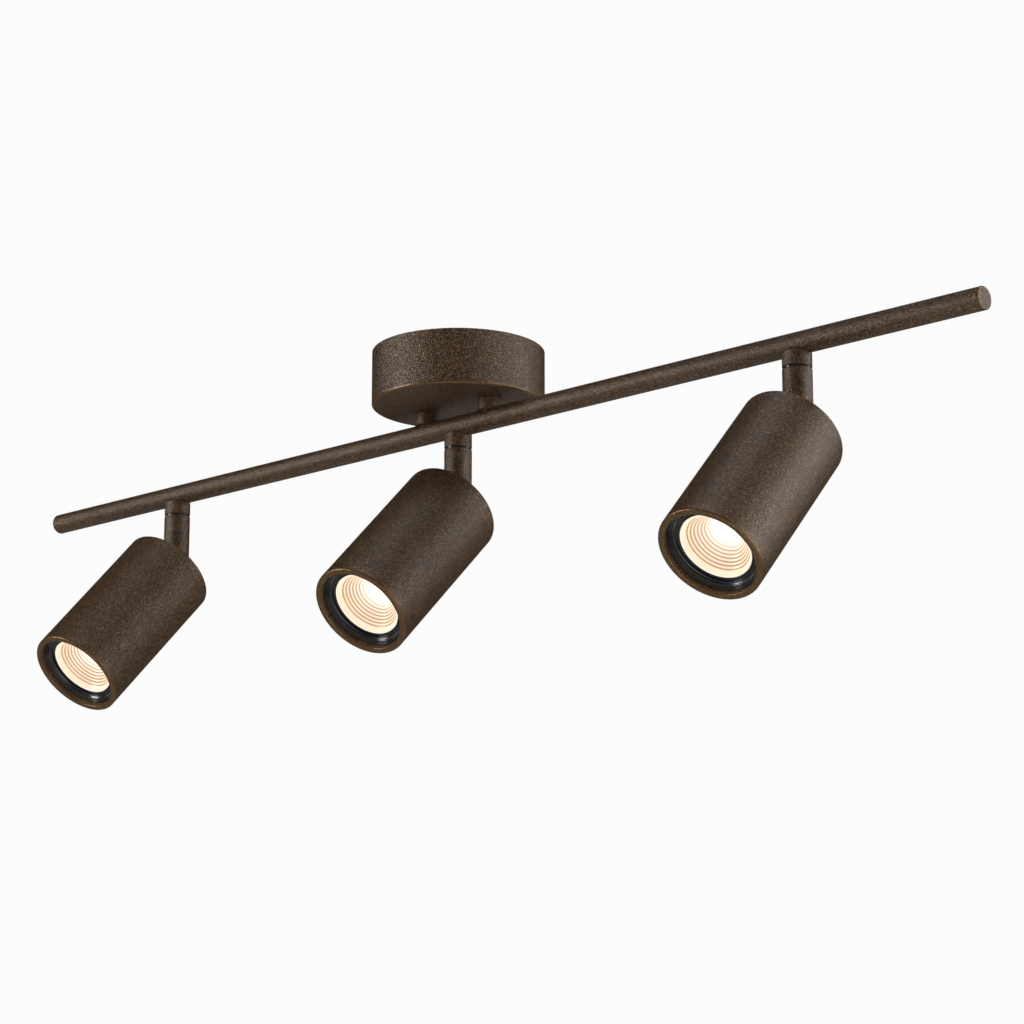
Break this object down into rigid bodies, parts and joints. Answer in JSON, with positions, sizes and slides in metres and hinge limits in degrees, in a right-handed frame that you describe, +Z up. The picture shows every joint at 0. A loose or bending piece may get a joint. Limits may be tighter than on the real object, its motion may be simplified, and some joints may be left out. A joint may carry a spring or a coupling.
{
  "type": "track lighting fixture",
  "caption": "Straight bar ceiling spotlight: round canopy on short stems, tube with end caps, and can-shaped lamp heads that pan on collars and tilt on knuckles.",
  "frame": {"origin": "centre of the ceiling plate's flat top face", "axes": "+X along the bar, -Y towards where the heads aim, +Z up into the ceiling"},
  "size_m": [0.812, 0.1659, 0.2126],
  "materials": {
    "bronze_coat": "fine-textured dark bronze powder coat with copper flecks, satin",
    "zinc_steel": "zinc-plated steel",
    "green_screw": "green-dyed earth screw",
    "ivory_plastic": "matt ivory plastic",
    "black_plastic": "glossy black",
    "lead_sheath": "black sheathed lead",
    "white_ceramic": "unglazed white ceramic",
    "lamp_aluminium": "satin cast aluminium",
    "bright_reflector": "bright ridged reflector, lit warm white",
    "warm_emitter": "glowing phosphor face"
  },
  "bodies": {
    "canopy_and_bar": {"canopy_cover": "bronze_coat", "ceiling_plate": "zinc_steel", "canopy_screw_1": "bronze_coat", "canopy_screw_2": "bronze_coat", "ground_screw": "green_screw", "terminal_block": "ivory_plastic", "canopy_stem_left": "bronze_coat", "canopy_stem_right": "bronze_coat", "stem_nipple_left": "zinc_steel", "stem_nipple_right": "zinc_steel", "stem_nut_left": "zinc_steel", "stem_nut_right": "zinc_steel", "bar_tube": "bronze_coat", "end_cap_left": "bronze_coat", "end_cap_right": "bronze_coat", "lead_left": "lead_sheath", "lead_middle": "lead_sheath", "lead_right": "lead_sheath", "swivel_collar_left": "bronze_coat", "swivel_collar_middle": "bronze_coat", "swivel_collar_right": "bronze_coat"},
    "swivel_left": {"friction_washer_left": "black_plastic", "swivel_bolt_left": "zinc_steel", "swivel_stem_left": "bronze_coat", "pivot_screw_left": "zinc_steel", "pivot_nut_left": "zinc_steel"},
    "head_left": {"lamp_housing_left": "bronze_coat", "rear_tongue_left": "bronze_coat", "holder_bracket_left": "zinc_steel", "lamp_holder_left": "white_ceramic", "lamp_shell_left": "lamp_aluminium", "reflector_left": "bright_reflector", "emitter_left": "warm_emitter", "front_ring_left": "black_plastic"},
    "swivel_middle": {"friction_washer_middle": "black_plastic", "swivel_bolt_middle": "zinc_steel", "swivel_stem_middle": "bronze_coat", "pivot_screw_middle": "zinc_steel", "pivot_nut_middle": "zinc_steel"},
    "head_middle": {"lamp_housing_middle": "bronze_coat", "rear_tongue_middle": "bronze_coat", "holder_bracket_middle": "zinc_steel", "lamp_holder_middle": "white_ceramic", "lamp_shell_middle": "lamp_aluminium", "reflector_middle": "bright_reflector", "emitter_middle": "warm_emitter", "front_ring_middle": "black_plastic"},
    "swivel_right": {"friction_washer_right": "black_plastic", "swivel_bolt_right": "zinc_steel", "swivel_stem_right": "bronze_coat", "pivot_screw_right": "zinc_steel", "pivot_nut_right": "zinc_steel"},
    "head_right": {"lamp_housing_right": "bronze_coat", "rear_tongue_right": "bronze_coat", "holder_bracket_right": "zinc_steel", "lamp_holder_right": "white_ceramic", "lamp_shell_right": "lamp_aluminium", "reflector_right": "bright_reflector", "emitter_right": "warm_emitter", "front_ring_right": "black_plastic"}
  },
  "joints": [
    {"name": "pan_left", "type": "hinge", "parent": "canopy_and_bar", "child": "swivel_left", "pos_m": [-0.2745, 0, -0.065], "axis": [0, 0, 1], "range_deg": [-171.2, 178.8]},
    {"name": "tilt_left", "type": "hinge", "parent": "swivel_left", "child": "head_left", "pos_m": [-0.2745, 0, -0.0998], "axis": [-0.9978, 0.0663, 0], "range_deg": [-42.6, 47.4]},
    {"name": "pan_middle", "type": "hinge", "parent": "canopy_and_bar", "child": "swivel_middle", "pos_m": [0, 0, -0.065], "axis": [0, 0, 1], "range_deg": [-174.4, 175.6]},
    {"name": "tilt_middle", "type": "hinge", "parent": "swivel_middle", "child": "head_middle", "pos_m": [0, 0, -0.0998], "axis": [-0.9999, 0.0105, 0], "range_deg": [-45.1, 44.9]},
    {"name": "pan_right", "type": "hinge", "parent": "canopy_and_bar", "child": "swivel_right", "pos_m": [0.2745, 0, -0.065], "axis": [0, 0, 1], "range_deg": [-172.5, 177.5]},
    {"name": "tilt_right", "type": "hinge", "parent": "swivel_right", "child": "head_right", "pos_m": [0.2745, 0, -0.0998], "axis": [-0.999, 0.0436, 0], "range_deg": [-41.7, 48.3]}
  ]
}
